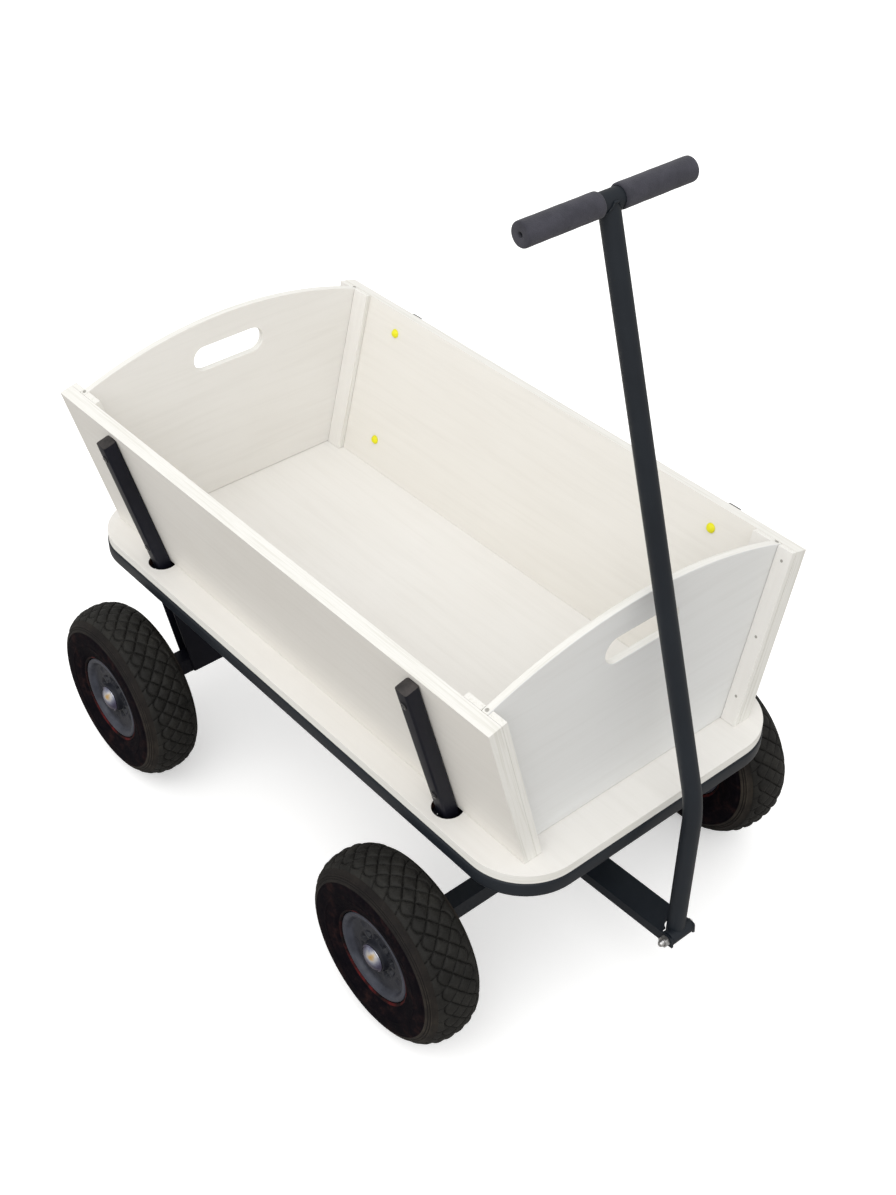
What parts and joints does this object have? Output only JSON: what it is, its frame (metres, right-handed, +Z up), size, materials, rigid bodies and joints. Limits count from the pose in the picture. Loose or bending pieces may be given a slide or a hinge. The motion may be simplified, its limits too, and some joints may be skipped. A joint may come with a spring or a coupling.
{
  "type": "garden cart",
  "caption": "Four-wheeled pull cart: white wooden box with splayed lift-out sides and slotted end boards on a dark steel frame, pneumatic wheels, steering front axle and a bent T-handle.",
  "frame": {"origin": "on the ground below the middle of the overall box", "axes": "+Z up, +X forwards to the pull handle, +Y to the cart's left"},
  "size_m": [0.9836, 0.631, 1.037],
  "materials": {
    "white_wood": "white-stained plywood and solid wood, satin",
    "black_steel": "anthracite powder coat, satin",
    "foam_grip": "closed-cell foam, matte",
    "tyre_rubber": "matte black rubber",
    "wheel_plastic": "dark blue-grey moulded plastic, satin",
    "bright_cap": "polished, warm tint",
    "yellow_cap": "yellow plastic cap over a dark steel bolt",
    "zinc_bolt": "zinc plated"
  },
  "bodies": {
    "chassis": {"deck_board": "white_wood", "rail_left": "black_steel", "rail_right": "black_steel", "bow_front": "black_steel", "bow_rear": "black_steel", "cross_tube_front": "black_steel", "cross_tube_rear": "black_steel", "rear_hanger_front_plate": "black_steel", "rear_hanger_rear_plate": "black_steel", "rear_axle_beam": "black_steel", "turntable_plate": "black_steel", "kingpin": "zinc_bolt", "end_board_front": "white_wood", "socket_front_left": "black_steel", "socket_front_right": "black_steel", "socket_rear_left": "black_steel", "socket_rear_right": "black_steel"},
    "front_axle": {"front_axle_beam": "black_steel", "steering_bracket": "black_steel", "turntable_disc": "black_steel", "tongue": "black_steel", "pivot_bolt": "zinc_bolt"},
    "handle": {"handle_frame": "black_steel", "grip_left": "foam_grip", "grip_right": "foam_grip"},
    "rear_panel": {"end_board_rear": "white_wood"},
    "left_side": {"side_board_left": "white_wood", "post_front_left": "black_steel", "post_rear_left": "black_steel", "batten_front_inner_left": "white_wood", "batten_front_outer_left": "white_wood", "batten_rear_inner_left": "white_wood", "batten_rear_outer_left": "white_wood", "board_bolt_front_low_left": "yellow_cap", "board_bolt_front_high_left": "yellow_cap", "board_bolt_rear_low_left": "yellow_cap", "board_bolt_rear_high_left": "yellow_cap"},
    "right_side": {"side_board_right": "white_wood", "post_front_right": "black_steel", "post_rear_right": "black_steel", "batten_front_inner_right": "white_wood", "batten_front_outer_right": "white_wood", "batten_rear_inner_right": "white_wood", "batten_rear_outer_right": "white_wood", "board_bolt_front_low_right": "yellow_cap", "board_bolt_front_high_right": "yellow_cap", "board_bolt_rear_low_right": "yellow_cap", "board_bolt_rear_high_right": "yellow_cap"},
    "wheel_front_left": {"tyre_front_left": "tyre_rubber", "wheel_disc_front_left": "wheel_plastic", "hub_cap_front_left": "bright_cap"},
    "wheel_front_right": {"tyre_front_right": "tyre_rubber", "wheel_disc_front_right": "wheel_plastic", "hub_cap_front_right": "bright_cap"},
    "wheel_rear_left": {"tyre_rear_left": "tyre_rubber", "wheel_disc_rear_left": "wheel_plastic", "hub_cap_rear_left": "bright_cap"},
    "wheel_rear_right": {"tyre_rear_right": "tyre_rubber", "wheel_disc_rear_right": "wheel_plastic", "hub_cap_rear_right": "bright_cap"}
  },
  "joints": [
    {"name": "wheel_rear_left_spin", "type": "hinge", "parent": "chassis", "child": "wheel_rear_left", "pos_m": [-0.33575, 0.273, 0.13], "axis": [0, 1, 0], "continuous": true},
    {"name": "wheel_front_left_spin", "type": "hinge", "parent": "front_axle", "child": "wheel_front_left", "pos_m": [0.26975, 0.273, 0.13], "axis": [0, 1, 0], "continuous": true},
    {"name": "wheel_rear_right_spin", "type": "hinge", "parent": "chassis", "child": "wheel_rear_right", "pos_m": [-0.33575, -0.273, 0.13], "axis": [0, 1, 0], "continuous": true},
    {"name": "wheel_front_right_spin", "type": "hinge", "parent": "front_axle", "child": "wheel_front_right", "pos_m": [0.26975, -0.273, 0.13], "axis": [0, 1, 0], "continuous": true},
    {"name": "steering", "type": "hinge", "parent": "chassis", "child": "front_axle", "pos_m": [0.26975, 0, 0.27], "axis": [0, 0, 1], "range_deg": [-25, 25]},
    {"name": "handle_tilt", "type": "hinge", "parent": "front_axle", "child": "handle", "pos_m": [0.48175, 0, 0.136], "axis": [0, 1, 0], "range_deg": [0, 109]},
    {"name": "left_side_lift", "type": "slide", "parent": "chassis", "child": "left_side", "axis": [0, 0.2487, 0.9686], "range_m": [0, 0.3]},
    {"name": "right_side_lift", "type": "slide", "parent": "chassis", "child": "right_side", "axis": [0, -0.2487, 0.9686], "range_m": [0, 0.3]},
    {"name": "rear_board_lift", "type": "slide", "parent": "chassis", "child": "rear_panel", "axis": [0, 0, 1], "range_m": [0, 0.3]}
  ]
}
